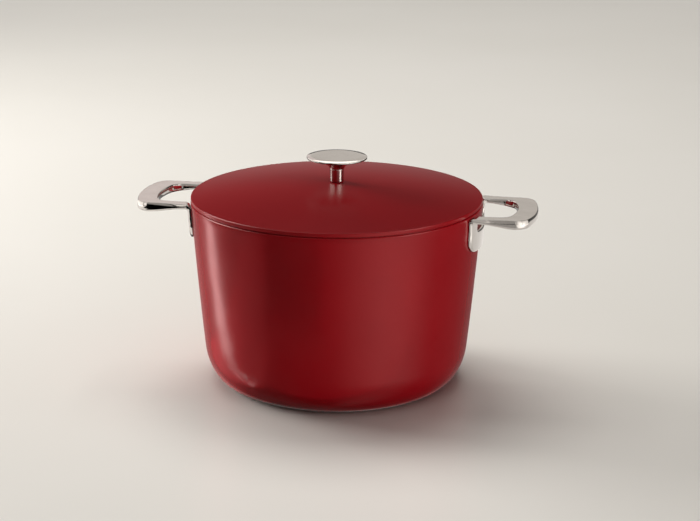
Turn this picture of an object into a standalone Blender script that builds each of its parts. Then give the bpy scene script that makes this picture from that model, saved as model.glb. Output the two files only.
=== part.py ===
"""Stock pot with a lift-off lid, two loop handles and a mushroom knob.

Metres, +Z up. The origin is the centre of the face that the pot stands on, and +X runs along the two handles.
"""
import math

import bmesh
import bpy

MM = 0.001
FIT = 0.3 * MM  # clearance between faces that touch

# Pot body
RIM_RADIUS = 133.0 * MM
RIM_HEIGHT = 168.2 * MM
RIM_ROUND = 1.1 * MM
WALL = 3.0 * MM
WALL_TAPER = 0.0711  # loss of radius for each metre below the rim
WALL_BOW = 0.12  # further loss, for each square metre
CORNER_HEIGHT = 33.0 * MM  # where the straight wall meets the rounded corner
CORNER_TIP = 117.8 * MM  # radius where the wall's line would meet the ground
CORNER_FOOT = 97.5 * MM  # radius where the rounded corner comes down to the ground
CORNER_WEIGHT = 0.725
FLOOR_TOP = 5.4 * MM
UNDERSIDE = 0.9 * MM
RECESS_LIP = 1.2 * MM  # flat ring outside the disc

# Steel disc let into the pot's underside
DISC_RADIUS = 101.5 * MM
DISC_THICKNESS = 1.4 * MM
DISC_ROUND = 0.3 * MM

# Lid
LID_RADIUS = 132.8 * MM
LID_EDGE_TOP = 172.5 * MM
LID_APEX = 184.8 * MM
LID_EDGE_ROUND = 0.9 * MM
LID_LIP = 1.0 * MM  # open seam between the lid's edge and the rim
LID_SHEET = 2.5 * MM
LAND_RADIUS = 131.2 * MM  # outside of the ring by which the lid rests on the rim
SKIRT_RADIUS = 128.4 * MM
SKIRT_THICKNESS = 2.2 * MM
SKIRT_BOTTOM = 162.6 * MM

# Knob and the fasteners that hold it
SCREW_RADIUS = 2.5 * MM
SCREW_BORE = SCREW_RADIUS + FIT
GASKET_RADIUS = 6.1 * MM
GASKET_THICKNESS = 0.7 * MM
STEM_RADIUS = 6.3 * MM
STEM_TOP = 197.3 * MM
NECK_RADIUS = 6.7 * MM
KNOB_RADIUS = 27.5 * MM
KNOB_TOP = 209.4 * MM
KNOB_RIM = 2.0 * MM
KNOB_BORE_TOP = 205.0 * MM
WASHER_RADIUS = 8.0 * MM
WASHER_THICKNESS = 1.2 * MM
LOCK_RADIUS = 4.6 * MM
LOCK_SPLIT = 1.2 * MM
SCREW_HEAD_RADIUS = 4.6 * MM
SCREW_HEAD_HEIGHT = 3.0 * MM
SOCKET_RADIUS = 1.7 * MM
SOCKET_DEPTH = 1.8 * MM

# Handles: a flange on the wall, a bend, and a flat loop to hold
GRIP_TOP = 167.6 * MM
GRIP_REACH = 184.0 * MM
GRIP_HALF_WIDTH = 42.0 * MM
GRIP_ROOT_HALF_WIDTH = 44.4 * MM
GRIP_ROOT = 131.0 * MM
GRIP_CORNER = 13.0 * MM
GRIP_BOW = 110.0 * MM
GRIP_THIN = 4.8 * MM
GRIP_THICK = 8.6 * MM
GRIP_THICKEST = 170.0 * MM
WINDOW_REACH = 164.6 * MM
WINDOW_HALF_WIDTH = 31.5 * MM
WINDOW_CORNER = 12.0 * MM
WINDOW_BOW = 80.0 * MM
WINDOW_SILL = 151.2 * MM
FLANGE = 3.5 * MM
FLANGE_BOTTOM = 131.0 * MM
FLANGE_HALF_WIDTH = 41.3 * MM
FLANGE_CORNER = 16.0 * MM
FLANGE_BOW = 180.0 * MM
BEND_OUTER = 5.0 * MM  # radius of the bend on its convex side, towards the pot
BEND_INNER = 2.0 * MM
HANDLE_EDGE = 0.6 * MM  # chamfer along the handle's edges
TRIM = 6.0 * MM  # how far raw shapes and cutters run past the finished surface
INSIDE_WALL = 119.0 * MM  # where the handle's outlines start, inside the wall
TRIM_LOW = 120.0 * MM  # heights that the handle's plan is cut between
TRIM_HIGH = 180.0 * MM

# Rivets through the wall into blind holes in the flange
RIVET_OFFSET = 20.0 * MM
RIVET_HEIGHT = 141.2 * MM
RIVET_RADIUS = 2.5 * MM
RIVET_HEAD_RADIUS = 5.5 * MM
RIVET_HEAD_HEIGHT = 1.8 * MM
RIVET_HEAD_GAP = 0.45 * MM
RIVET_LENGTH = 5.6 * MM  # from the wall's inner face
RIVET_BORE_LENGTH = 5.9 * MM

BODY_STEPS = 64
RING_STEPS = 96
SMALL_STEPS = 32
TINY_STEPS = 16

RED_ENAMEL = (0.205, 0.0055, 0.0075, 1.0)
STEEL = (0.62, 0.60, 0.57, 1.0)
DARK_RUBBER = (0.02, 0.02, 0.02, 1.0)


def clear_scene():
    for item in list(bpy.data.objects):
        bpy.data.objects.remove(item, do_unlink=True)


def add_collection(name):
    group = bpy.data.collections.new(name)
    bpy.context.scene.collection.children.link(group)
    return group


def add_material(name, colour, roughness, metallic):
    made = bpy.data.materials.new(name)
    made.use_nodes = True
    shader = made.node_tree.nodes["Principled BSDF"]
    shader.inputs["Base Color"].default_value = colour
    shader.inputs["Roughness"].default_value = roughness
    shader.inputs["Metallic"].default_value = metallic
    return made


def add_object(name, mesh, group, parent=None):
    made = bpy.data.objects.new(name, mesh)
    group.objects.link(made)
    made.parent = parent
    return made


def hide_guide(item):
    item.hide_render = True
    item.display_type = "WIRE"


def arc(centre_r, centre_z, radius, start, end, steps):
    """Points along an arc in the (radius, height) plane, angles in degrees from +radius."""
    points = []
    for i in range(steps + 1):
        angle = math.radians(start + (end - start) * i / steps)
        points.append((centre_r + radius * math.cos(angle), centre_z + radius * math.sin(angle)))
    return points


def conic(start, corner, end, weight, steps):
    """Points along a rational quadratic curve from start to end, pulled towards corner."""
    points = []
    for i in range(steps + 1):
        t = i / steps
        a, b, c = (1 - t) ** 2, 2 * weight * t * (1 - t), t**2
        total = a + b + c
        points.append(tuple((a * p + b * q + c * r) / total for p, q, r in zip(start, corner, end)))
    return points


def wall_radius(height):
    """Outer radius of the pot's wall."""
    drop = RIM_HEIGHT - height
    return RIM_RADIUS - WALL_TAPER * drop - WALL_BOW * drop**2


def wall_slope(height):
    """Angle between the wall and the vertical."""
    return math.atan(WALL_TAPER + 2 * WALL_BOW * (RIM_HEIGHT - height))


def lid_height(radius):
    """Height of the lid's domed top."""
    return LID_APEX - (LID_APEX - LID_EDGE_TOP) * (radius / LID_RADIUS) ** 2


def turned(name, profile, steps, material, group, parent=None):
    """Solid of revolution about Z. The profile starts at the top and runs down its outer side."""
    mesh = bpy.data.meshes.new(name)
    count = len(profile)
    edges = [(i, i + 1) for i in range(count - 1)]
    if profile[0][0] > 0:
        edges.append((count - 1, 0))
    mesh.from_pydata([(r, 0.0, z) for r, z in profile], edges, [])
    made = add_object(name, mesh, group, parent)
    mesh.materials.append(material)
    screw = made.modifiers.new("turn", "SCREW")
    screw.axis = "Z"
    screw.angle = math.tau
    screw.steps = screw.render_steps = steps
    screw.use_merge_vertices = True
    screw.merge_threshold = 0.01 * MM
    screw.use_smooth_shade = True
    return made


def prism(name, outline, low, high, group):
    """Cutter: a flat outline in XY, extruded from low to high along Z, as a mesh."""
    curve = bpy.data.curves.new(name, "CURVE")
    curve.dimensions = "2D"
    curve.fill_mode = "BOTH"
    curve.extrude = (high - low) / 2
    spline = curve.splines.new("POLY")
    spline.points.add(len(outline) - 1)
    for point, (x, y) in zip(spline.points, outline):
        point.co = (x, y, 0.0, 1.0)
    spline.use_cyclic_u = True
    drawn = add_object(name + "_outline", curve, group)
    bpy.context.view_layer.update()
    mesh = bpy.data.meshes.new_from_object(drawn.evaluated_get(bpy.context.evaluated_depsgraph_get()))
    bpy.data.objects.remove(drawn, do_unlink=True)
    shape = bmesh.new()
    shape.from_mesh(mesh)
    bmesh.ops.remove_doubles(shape, verts=shape.verts, dist=0.001 * MM)
    bmesh.ops.recalc_face_normals(shape, faces=shape.faces)
    shape.to_mesh(mesh)
    shape.free()
    made = add_object(name, mesh, group)
    made.location.z = (low + high) / 2
    hide_guide(made)
    return made


def pin_cutter(name, radius, low, high, group, segments=TINY_STEPS):
    """Cutter: a cylinder along its own Z, from low to high."""
    mesh = bpy.data.meshes.new(name)
    shape = bmesh.new()
    bmesh.ops.create_cone(
        shape, cap_ends=True, segments=segments, radius1=radius, radius2=radius, depth=high - low
    )
    bmesh.ops.translate(shape, verts=shape.verts, vec=(0, 0, (low + high) / 2))
    shape.to_mesh(mesh)
    shape.free()
    made = add_object(name, mesh, group)
    hide_guide(made)
    return made


def combine(item, cutter, operation):
    step = item.modifiers.new(cutter.name, "BOOLEAN")
    step.operation = operation
    step.solver = "EXACT"
    step.object = cutter


def shade(mesh):
    mesh.shade_smooth()
    mesh.set_sharp_from_angle(angle=math.radians(35))


def finished_mesh(item):
    """The object's mesh with its modifiers applied."""
    bpy.context.view_layer.update()
    return bpy.data.meshes.new_from_object(item.evaluated_get(bpy.context.evaluated_depsgraph_get()))


def aim_from_wall(item, side, across):
    """Put an object on the wall's inner face, its +Z along the wall's normal, outwards."""
    inner = wall_radius(RIVET_HEIGHT) - WALL
    angle = math.asin(across / inner) + (math.pi if side < 0 else 0.0)
    item.location = (inner * math.cos(angle), inner * math.sin(angle), RIVET_HEIGHT)
    item.rotation_euler = (0.0, math.pi / 2 + wall_slope(RIVET_HEIGHT), angle)


def pot_inside():
    """The inside, from the middle of the floor up to the rim."""
    wall_steps = 3
    points = [(0.0, FLOOR_TOP)]
    wall_foot = (wall_radius(CORNER_HEIGHT) - WALL, CORNER_HEIGHT)
    floor_edge = (CORNER_FOOT - WALL, FLOOR_TOP)
    points += conic(floor_edge, (CORNER_TIP - WALL, FLOOR_TOP), wall_foot, CORNER_WEIGHT, 6)
    for i in range(1, wall_steps):
        height = CORNER_HEIGHT + (RIM_HEIGHT - RIM_ROUND - CORNER_HEIGHT) * i / wall_steps
        points.append((wall_radius(height) - WALL, height))
    return points + arc(RIM_RADIUS - WALL + RIM_ROUND, RIM_HEIGHT - RIM_ROUND, RIM_ROUND, 180, 90, 2)


def pot_outside():
    """The outside, from the rim down to the recess for the disc."""
    wall_steps = 3
    points = arc(RIM_RADIUS - RIM_ROUND, RIM_HEIGHT - RIM_ROUND, RIM_ROUND, 90, 0, 2)
    for i in range(1, wall_steps + 1):
        height = RIM_HEIGHT - RIM_ROUND + (CORNER_HEIGHT - RIM_HEIGHT + RIM_ROUND) * i / wall_steps
        points.append((wall_radius(height), height))
    corner = conic(points[-1], (CORNER_TIP, 0.0), (CORNER_FOOT, 0.0), CORNER_WEIGHT, 8)
    points += [point for point in corner[1:] if point[1] > 1.5 * UNDERSIDE]
    recess_radius = DISC_RADIUS + FIT
    points += [(recess_radius + RECESS_LIP, UNDERSIDE), (recess_radius, UNDERSIDE)]
    return points + [(recess_radius, DISC_THICKNESS + FIT), (0.0, DISC_THICKNESS + FIT)]


def make_pot_body(material, group, cutters):
    """Deep pan with a rounded foot, and a hole through the wall for each rivet."""
    made = turned("pot_body", pot_inside() + pot_outside(), BODY_STEPS, material, group)
    for cutter in cutters:
        combine(made, cutter, "DIFFERENCE")
    return made


def make_base_plate(material, group):
    """Steel disc under the pot, with its lower edge rounded."""
    profile = [(0.0, DISC_THICKNESS), (DISC_RADIUS, DISC_THICKNESS)]
    profile += arc(DISC_RADIUS - DISC_ROUND, DISC_ROUND, DISC_ROUND, 0, -90, 2)
    profile.append((0.0, 0.0))
    return turned("base_plate", profile, BODY_STEPS, material, group)


def bowed_end(reach, half_width, corner, bow, steps):
    """One end of an outline: a wide arc at +X between two rounded corners, from +Y round to -Y."""
    centre = reach - bow
    corner_y = half_width - corner
    corner_x = centre + math.sqrt((bow - corner) ** 2 - corner_y**2)
    turn = math.degrees(math.atan2(corner_y, corner_x - centre))
    points = arc(corner_x, corner_y, corner, 90, turn, steps)
    points += arc(centre, 0.0, bow, turn, -turn, steps)[1:-1]
    points += arc(corner_x, -corner_y, corner, -turn, -90, steps)
    return points


def grip_depth(radius):
    """Thickness of the grip, which swells from the bend towards the far bar."""
    t = (radius - GRIP_ROOT) / (GRIP_THICKEST - GRIP_ROOT)
    t = min(max(t, 0.0), 1.0)
    return GRIP_THIN + (GRIP_THICK - GRIP_THIN) * t * t * (3 - 2 * t)


def handle_section():
    """The handle's section in a plane through the pot's axis: grip, far edge, underside, flange, bend."""
    edge = 2.5 * MM  # how much the far bar's underside rises to its outer edge
    far = GRIP_REACH + TRIM
    low = FLANGE_BOTTOM - TRIM
    inner_foot = wall_radius(low) + FIT
    bend_top = wall_radius(GRIP_TOP - BEND_OUTER) + FIT
    section = [(bend_top + BEND_OUTER, GRIP_TOP), (far, GRIP_TOP), (far, GRIP_TOP - GRIP_THICK + edge)]
    steps = 6
    root = bend_top + FLANGE + BEND_INNER
    for i in range(steps + 1):
        radius = GRIP_THICKEST + (root - GRIP_THICKEST) * i / steps
        section.append((radius, GRIP_TOP - grip_depth(radius)))
    under = GRIP_TOP - grip_depth(root)
    section += arc(root, under - BEND_INNER, BEND_INNER, 90, 180, 3)[1:]
    section += [(inner_foot + FLANGE, low), (inner_foot, low)]
    section.append((wall_radius(RIVET_HEIGHT) + FIT, RIVET_HEIGHT))
    section += arc(bend_top + BEND_OUTER, GRIP_TOP - BEND_OUTER, BEND_OUTER, 180, 90, 4)[:-1]
    return section


def handle_outline():
    """Plan of the whole handle, in XY."""
    root = GRIP_ROOT_HALF_WIDTH
    outline = [(INSIDE_WALL, root), (GRIP_ROOT, root)]
    outline += bowed_end(GRIP_REACH, GRIP_HALF_WIDTH, GRIP_CORNER, GRIP_BOW, 6)
    return outline + [(GRIP_ROOT, -root), (INSIDE_WALL, -root)]


def window_outline():
    """Plan of the finger opening, in XY."""
    outline = bowed_end(WINDOW_REACH, WINDOW_HALF_WIDTH, WINDOW_CORNER, WINDOW_BOW, 6)
    return [(INSIDE_WALL, WINDOW_HALF_WIDTH)] + outline + [(INSIDE_WALL, -WINDOW_HALF_WIDTH)]


def flange_outline():
    """The flange seen from outside: x is down from the ground plane, y is across."""
    top = -(GRIP_TOP + TRIM)
    outline = bowed_end(-FLANGE_BOTTOM, FLANGE_HALF_WIDTH, FLANGE_CORNER, FLANGE_BOW, 6)
    root = GRIP_ROOT_HALF_WIDTH + HANDLE_EDGE
    return [(top, root)] + outline + [(top, -root)]


def make_handle_mesh(material, guides, rivet_cutters):
    """One handle on the +X side, cut from a ring that follows the pot's wall."""
    ring = turned("handle_ring", handle_section(), RING_STEPS, material, guides)
    hide_guide(ring)
    plan = prism("handle_plan", handle_outline(), TRIM_LOW, TRIM_HIGH, guides)
    window = prism("handle_window", window_outline(), WINDOW_SILL, TRIM_HIGH, guides)
    front = prism("handle_front", flange_outline(), INSIDE_WALL - TRIM, GRIP_REACH + TRIM, guides)
    front.rotation_euler = (0.0, math.pi / 2, 0.0)
    front.location = ((INSIDE_WALL + GRIP_REACH) / 2, 0.0, 0.0)
    combine(ring, plan, "INTERSECT")
    combine(ring, front, "INTERSECT")
    combine(ring, window, "DIFFERENCE")
    for cutter in rivet_cutters:
        combine(ring, cutter, "DIFFERENCE")
    edges = ring.modifiers.new("edges", "BEVEL")
    edges.width = HANDLE_EDGE
    edges.segments = 1
    edges.limit_method = "ANGLE"
    edges.angle_limit = math.radians(50)
    mesh = finished_mesh(ring)
    shade(mesh)
    return mesh


def make_rivet_mesh(material, guides):
    """A rivet along +Z: low round head inside the pot, shank through the wall."""
    dome = conic(
        (0.0, -RIVET_HEAD_GAP - RIVET_HEAD_HEIGHT),
        (RIVET_HEAD_RADIUS, -RIVET_HEAD_GAP - RIVET_HEAD_HEIGHT),
        (RIVET_HEAD_RADIUS, -RIVET_HEAD_GAP - 0.4 * MM),
        0.7,
        4,
    )
    profile = [(0.0, RIVET_LENGTH), (RIVET_RADIUS, RIVET_LENGTH), (RIVET_RADIUS, -RIVET_HEAD_GAP)]
    profile += [(RIVET_HEAD_RADIUS, -RIVET_HEAD_GAP)] + list(reversed(dome))
    drawn = turned("rivet", profile, TINY_STEPS, material, guides)
    mesh = finished_mesh(drawn)
    bpy.data.objects.remove(drawn, do_unlink=True)
    shade(mesh)
    return mesh


def make_lid_shell(material, group, parent):
    """Low dome with a rounded edge, a ring that rests on the rim and a skirt inside it."""
    edge_bottom = RIM_HEIGHT + LID_LIP
    land_bottom = RIM_HEIGHT + FIT
    skirt_inner = SKIRT_RADIUS - SKIRT_THICKNESS
    round_r = LID_RADIUS - LID_EDGE_ROUND
    profile = []
    dome_steps = 4
    for i in range(dome_steps + 1):
        radius = SCREW_BORE + (round_r - SCREW_BORE) * i / dome_steps
        profile.append((radius, lid_height(radius)))
    profile += arc(round_r, lid_height(round_r) - LID_EDGE_ROUND, LID_EDGE_ROUND, 60, 0, 2)
    profile += arc(LID_RADIUS - 0.5 * MM, edge_bottom + 0.5 * MM, 0.5 * MM, 0, -90, 2)
    profile += [(LAND_RADIUS, edge_bottom), (LAND_RADIUS, land_bottom), (SKIRT_RADIUS, land_bottom)]
    profile += arc(SKIRT_RADIUS - 0.6 * MM, SKIRT_BOTTOM + 0.6 * MM, 0.6 * MM, 0, -90, 2)
    profile.append((skirt_inner, SKIRT_BOTTOM))
    for i in range(dome_steps + 1):
        radius = skirt_inner + (SCREW_BORE - skirt_inner) * i / dome_steps
        profile.append((radius, lid_height(radius) - LID_SHEET))
    return turned("lid_shell", profile, BODY_STEPS, material, group, parent)


def ring_profile(outer, inner, low, high):
    return [(inner, high), (outer, high), (outer, low), (inner, low)]


def make_knob_head(material, group, parent):
    """Flat round top on a flared neck, with a blind screw hole from below."""
    neck = STEM_TOP + FIT
    rim_low = KNOB_TOP - KNOB_RIM
    rim_round = KNOB_RIM / 2
    profile = [(0.0, KNOB_TOP)]
    profile += arc(KNOB_RADIUS - rim_round, KNOB_TOP - rim_round, rim_round, 90, -75, 4)
    flare_steps = 6
    flare = KNOB_RADIUS - KNOB_RIM / 2 - NECK_RADIUS
    for i in range(1, flare_steps + 1):
        t = 1.0 - i / flare_steps
        profile.append((NECK_RADIUS + flare * t * t, neck + (rim_low - neck) * t))
    profile += [(SCREW_BORE, neck), (SCREW_BORE, KNOB_BORE_TOP), (0.0, KNOB_BORE_TOP)]
    return turned("knob_head", profile, SMALL_STEPS, material, group, parent)


def make_knob_screw(material, group, guides, parent, head_top):
    """Pan-head screw with a hexagon socket, up through the lid and the stem into the knob."""
    head_low = head_top - SCREW_HEAD_HEIGHT
    profile = [(0.0, KNOB_BORE_TOP - 1.0 * MM), (SCREW_RADIUS, KNOB_BORE_TOP - 1.0 * MM)]
    profile += [(SCREW_RADIUS, head_top), (SCREW_HEAD_RADIUS, head_top)]
    profile += arc(SCREW_HEAD_RADIUS - 1.0 * MM, head_low + 1.0 * MM, 1.0 * MM, 0, -90, 3)
    profile.append((0.0, head_low))
    made = turned("knob_screw", profile, TINY_STEPS, material, group, parent)
    socket = pin_cutter("screw_socket", SOCKET_RADIUS, -1.0 * MM, SOCKET_DEPTH, guides, 6)
    socket.location.z = head_low
    combine(made, socket, "DIFFERENCE")
    return made


def make_lock_washer(material, group, guides, parent, low, high):
    """Split ring: a turned washer with one slot cut through its side."""
    section = ring_profile(LOCK_RADIUS, SCREW_BORE, low, high)
    made = turned("lock_washer", section, TINY_STEPS, material, group, parent)
    near, far, half = SCREW_BORE / 2, LOCK_RADIUS + MM, LOCK_SPLIT / 2
    outline = [(near, -half), (far, -half), (far, half), (near, half)]
    slot = prism("lock_slot", outline, low - MM, high + MM, guides)
    combine(made, slot, "DIFFERENCE")
    return made


def make_lid(materials, group, guides):
    """Everything that lifts off: the lid, its knob and the screw stack, on an empty at the rim's centre."""
    frame = add_object("lid_frame", None, group)
    steel = materials["steel"]
    make_lid_shell(materials["enamel"], group, frame)
    gasket_low = LID_APEX + FIT
    gasket_high = gasket_low + GASKET_THICKNESS
    gasket = ring_profile(GASKET_RADIUS, SCREW_BORE, gasket_low, gasket_high)
    turned("knob_gasket", gasket, SMALL_STEPS, materials["rubber"], group, frame)
    stem = ring_profile(STEM_RADIUS, SCREW_BORE, gasket_high + FIT, STEM_TOP)
    turned("knob_stem", stem, SMALL_STEPS, steel, group, frame)
    make_knob_head(steel, group, frame)
    washer_high = LID_APEX - LID_SHEET - FIT
    washer_low = washer_high - WASHER_THICKNESS
    washer = ring_profile(WASHER_RADIUS, SCREW_BORE, washer_low, washer_high)
    turned("flat_washer", washer, SMALL_STEPS, steel, group, frame)
    lock_high = washer_low - FIT
    lock_low = lock_high - WASHER_THICKNESS
    make_lock_washer(steel, group, guides, frame, lock_low, lock_high)
    make_knob_screw(steel, group, guides, frame, lock_low - FIT)


def make_handles(materials, group, guides):
    """Both handles and their rivets. Returns the cutters for the holes in the pot's wall."""
    cutters = []
    for side, name in ((1, "right"), (-1, "left")):
        for across, place in ((RIVET_OFFSET, "a"), (-RIVET_OFFSET, "b")):
            cutter = pin_cutter(
                "bore_" + name + "_" + place, RIVET_RADIUS + FIT, -TRIM, RIVET_BORE_LENGTH, guides
            )
            aim_from_wall(cutter, side, across)
            cutters.append(cutter)
    handle_mesh = make_handle_mesh(materials["steel"], guides, cutters[:2])
    rivet_mesh = make_rivet_mesh(materials["steel"], guides)
    for side, name in ((1, "right"), (-1, "left")):
        handle = add_object("handle_" + name, handle_mesh, group)
        handle.rotation_euler.z = 0.0 if side > 0 else math.pi
        for across, place in ((RIVET_OFFSET, "1"), (-RIVET_OFFSET, "2")):
            rivet = add_object("rivet_" + name + "_" + place, rivet_mesh, group)
            aim_from_wall(rivet, side, across)
    return cutters


def main():
    clear_scene()
    group = add_collection("stock_pot")
    guides = add_collection("cutters")
    materials = {
        "enamel": add_material("red_coating", RED_ENAMEL, 0.38, 0.0),
        "steel": add_material("polished_steel", STEEL, 0.12, 1.0),
        "rubber": add_material("dark_rubber", DARK_RUBBER, 0.7, 0.0),
    }
    cutters = make_handles(materials, group, guides)
    make_pot_body(materials["enamel"], group, cutters)
    make_base_plate(materials["steel"], group)
    make_lid(materials, group, guides)


main()
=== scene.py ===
"""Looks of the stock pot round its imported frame: fine surfaces, materials, studio, camera. Metres, +Z up."""
import math

import bpy
from mathutils import Matrix, Vector


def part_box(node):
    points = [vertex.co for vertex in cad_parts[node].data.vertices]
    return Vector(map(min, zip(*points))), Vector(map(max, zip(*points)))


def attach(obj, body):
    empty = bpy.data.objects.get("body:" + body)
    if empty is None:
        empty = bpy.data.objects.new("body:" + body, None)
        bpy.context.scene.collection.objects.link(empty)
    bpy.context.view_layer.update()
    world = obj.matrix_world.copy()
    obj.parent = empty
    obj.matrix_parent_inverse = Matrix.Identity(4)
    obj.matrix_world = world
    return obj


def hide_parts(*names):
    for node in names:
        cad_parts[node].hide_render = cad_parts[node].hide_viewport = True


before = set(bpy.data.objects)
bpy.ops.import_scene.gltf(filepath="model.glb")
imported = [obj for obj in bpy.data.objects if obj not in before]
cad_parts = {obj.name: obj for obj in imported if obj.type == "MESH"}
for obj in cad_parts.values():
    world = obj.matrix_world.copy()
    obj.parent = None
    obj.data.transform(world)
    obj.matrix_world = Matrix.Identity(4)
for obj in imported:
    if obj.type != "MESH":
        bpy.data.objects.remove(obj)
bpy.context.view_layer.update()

MM = 0.001

_, BODY_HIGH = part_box("pot_body")
LID_LOW, LID_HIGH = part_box("lid_shell")
KNOB_LOW, KNOB_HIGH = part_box("knob_head")
STEM_LOW, STEM_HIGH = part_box("knob_stem")
GASKET_LOW, GASKET_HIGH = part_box("knob_gasket")
GRIP_LOW, GRIP_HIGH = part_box("handle_right")
_, DISC_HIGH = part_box("base_plate")

# Pot body
RIM_RADIUS = BODY_HIGH.x
RIM_HEIGHT = BODY_HIGH.z
RIM_ROUND = 1.1 * MM
WALL = 3.0 * MM
WALL_TAPER = 0.0711  # loss of radius for each metre below the rim
WALL_BOW = 0.12  # further loss, for each square metre
CORNER_HEIGHT = 33.0 * MM
CORNER_TIP = 117.8 * MM
CORNER_FOOT = 97.5 * MM
CORNER_WEIGHT = 0.725
FLOOR_TOP = 5.4 * MM
UNDERSIDE = 0.9 * MM
DISC_GAP = 0.2 * MM
DISC_CLEARANCE = 0.1 * MM
RECESS_CHAMFER = 1.0 * MM

# Base disc
DISC_CHAMFER = 0.3 * MM
GROOVES = (86.0 * MM, 60.0 * MM, 34.0 * MM)
GROOVE_HALF_WIDTH = 0.8 * MM
GROOVE_DEPTH = 0.25 * MM
CENTRE_MARK = ((3.0 * MM, 0.0), (2.2 * MM, 0.3 * MM), (0.0, 0.4 * MM))

# Lid
LID_RADIUS = LID_HIGH.x
LID_APEX = LID_HIGH.z
LID_EDGE_TOP = 172.5 * MM
LID_EDGE_ROUND = 0.9 * MM
LID_EDGE_START = 78.0  # degrees; where the dome runs into the edge's round
LID_LIP = 1.0 * MM
LID_LIP_ROUND = 0.5 * MM
LID_SHEET = 2.5 * MM
LAND_RADIUS = 131.2 * MM
LAND_GAP = 0.1 * MM
SKIRT_RADIUS = 128.4 * MM
SKIRT_THICKNESS = 2.2 * MM
SKIRT_ROUND = 0.6 * MM
SCREW_BORE = 2.8 * MM

# Knob
NECK_RADIUS = 6.7 * MM
KNOB_FLAT = 0.72  # share of its radius over which the knob's top is flat
KNOB_FALL = 0.75 * MM
KNOB_EDGE = 0.6 * MM
KNOB_BAND = 0.7 * MM
KNOB_BORE_DEPTH = 5.0 * MM
STEM_ROUND = 0.25 * MM
NECK_SINK = 0.1 * MM  # the neck, the stem and the gasket each sink into the piece below
STEM_SINK = 0.15 * MM
GASKET_SINK = 0.2 * MM
GASKET_ROUND = 0.15 * MM
WASHER_ROUND = 0.25 * MM

# Handles, as a sheet that runs up the wall, round a bend and out to the grip's far bar
GRIP_TOP = GRIP_HIGH.z
GRIP_REACH = GRIP_HIGH.x
GRIP_HALF_WIDTH = 42.0 * MM
GRIP_ROOT_HALF_WIDTH = 44.0 * MM
GRIP_ROOT_FLARE = 0.114  # slope of the grip's sides where they meet the bend
GRIP_CORNER = 13.0 * MM
GRIP_BOW = 110.0 * MM
GRIP_THIN = 4.8 * MM
GRIP_THICK = 8.6 * MM
GRIP_SWELL = 36.0 * MM  # distance from the bend over which the grip reaches its full thickness
WINDOW_REACH = 164.6 * MM
WINDOW_HALF_WIDTH = 31.5 * MM
WINDOW_FOOT_HALF_WIDTH = 29.0 * MM
WINDOW_CORNER = 12.0 * MM
WINDOW_BOW = 80.0 * MM
WINDOW_SILL = 151.2 * MM
SILL_CORNER = 3.0 * MM
FLANGE = 3.5 * MM
FLANGE_BOTTOM = GRIP_LOW.z
FLANGE_HALF_WIDTH = 41.3 * MM
FLANGE_CORNER = 16.0 * MM
FLANGE_BOW = 180.0 * MM
FLANGE_GAP = 0.15 * MM
BEND = 5.0 * MM
BEND_FILLET = 0.9 * MM  # extra depth in the bend's inner corner
BEND_FILLET_SPREAD = 3.2 * MM
FLANGE_LIFT = 0.4 * MM  # keeps the flange's lower edge inside the handle's box
GRIP_BLEND = 12.0 * MM  # distance over which the flange's section turns into the grip's
GRIP_EDGE = 1.5 * MM
GRIP_FALL = 0.64  # share of the grip's thickness that its steep upper edge takes
GRIP_FULLNESS = 3.2 * MM
FLANGE_EDGE = 0.8 * MM
FLANGE_FULLNESS = 2.0 * MM
SECTION_GAP = 0.02 * MM  # keeps the section's upper and lower curves apart

# Rivets
RIVET_HEAD = 5.5 * MM
RIVET_HEIGHT = 1.9 * MM
RIVET_LIP = 0.3 * MM
RIVET_UNDERCUT = 0.2 * MM
RIVET_SHANK = 2.4 * MM
RIVET_LENGTH = 5.0 * MM

# Meshes; the first three are steps round a turned piece, by its size
FINE = 256
MEDIUM = 96
SMALL = 48
SMOOTH_ANGLE = 38.0  # degrees; edges sharper than this stay sharp
TINY = 1e-7  # metres; points closer than this are one point

# Floor
FLOOR_RADIUS = 6.0
FLOOR_STEPS = 128
FLOOR_DROP = 0.2 * MM

# Camera
CAMERA_PLACE = (0.3053, -1.7126, 0.6224)
CAMERA_TURN = 9.7  # degrees, as the tilt and the roll
CAMERA_TILT = 73.591
CAMERA_ROLL = 0.370
CAMERA_LENS = 101.36  # millimetres, as the sensor's width
SENSOR = 36.0


# ---------------------------------------------------------------- shapes

def arc(centre_x, centre_y, radius, start, end, steps):
    """Points along an arc, angles in degrees."""
    points = []
    for i in range(steps + 1):
        angle = math.radians(start + (end - start) * i / steps)
        points.append((centre_x + radius * math.cos(angle), centre_y + radius * math.sin(angle)))
    return points


def conic(start, corner, end, weight, steps):
    """Points along a rational quadratic curve from start to end, pulled towards corner."""
    points = []
    for i in range(steps + 1):
        t = i / steps
        a, b, c = (1 - t) ** 2, 2 * weight * t * (1 - t), t**2
        total = a + b + c
        points.append(tuple((a * p + b * q + c * r) / total for p, q, r in zip(start, corner, end)))
    return points


def smooth(t):
    t = min(max(t, 0.0), 1.0)
    return t * t * (3 - 2 * t)


def wall_radius(height):
    drop = RIM_HEIGHT - height
    return RIM_RADIUS - WALL_TAPER * drop - WALL_BOW * drop**2


def wall_slope(height):
    return math.atan(WALL_TAPER + 2 * WALL_BOW * (RIM_HEIGHT - height))


def lid_height(radius):
    return LID_APEX - (LID_APEX - LID_EDGE_TOP) * (radius / LID_RADIUS) ** 2


def add_piece(name, vertices, faces, slots, materials, body, nodes):
    mesh = bpy.data.meshes.new(name)
    mesh.from_pydata(vertices, [], faces)
    for material in materials:
        mesh.materials.append(material)
    mesh.polygons.foreach_set("material_index", slots)
    mesh.update()
    mesh.validate()
    mesh.shade_smooth()
    mesh.set_sharp_from_angle(angle=math.radians(SMOOTH_ANGLE))
    piece = bpy.data.objects.new(name, mesh)
    bpy.context.scene.collection.objects.link(piece)
    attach(piece, body)
    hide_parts(*nodes)
    return piece


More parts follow.
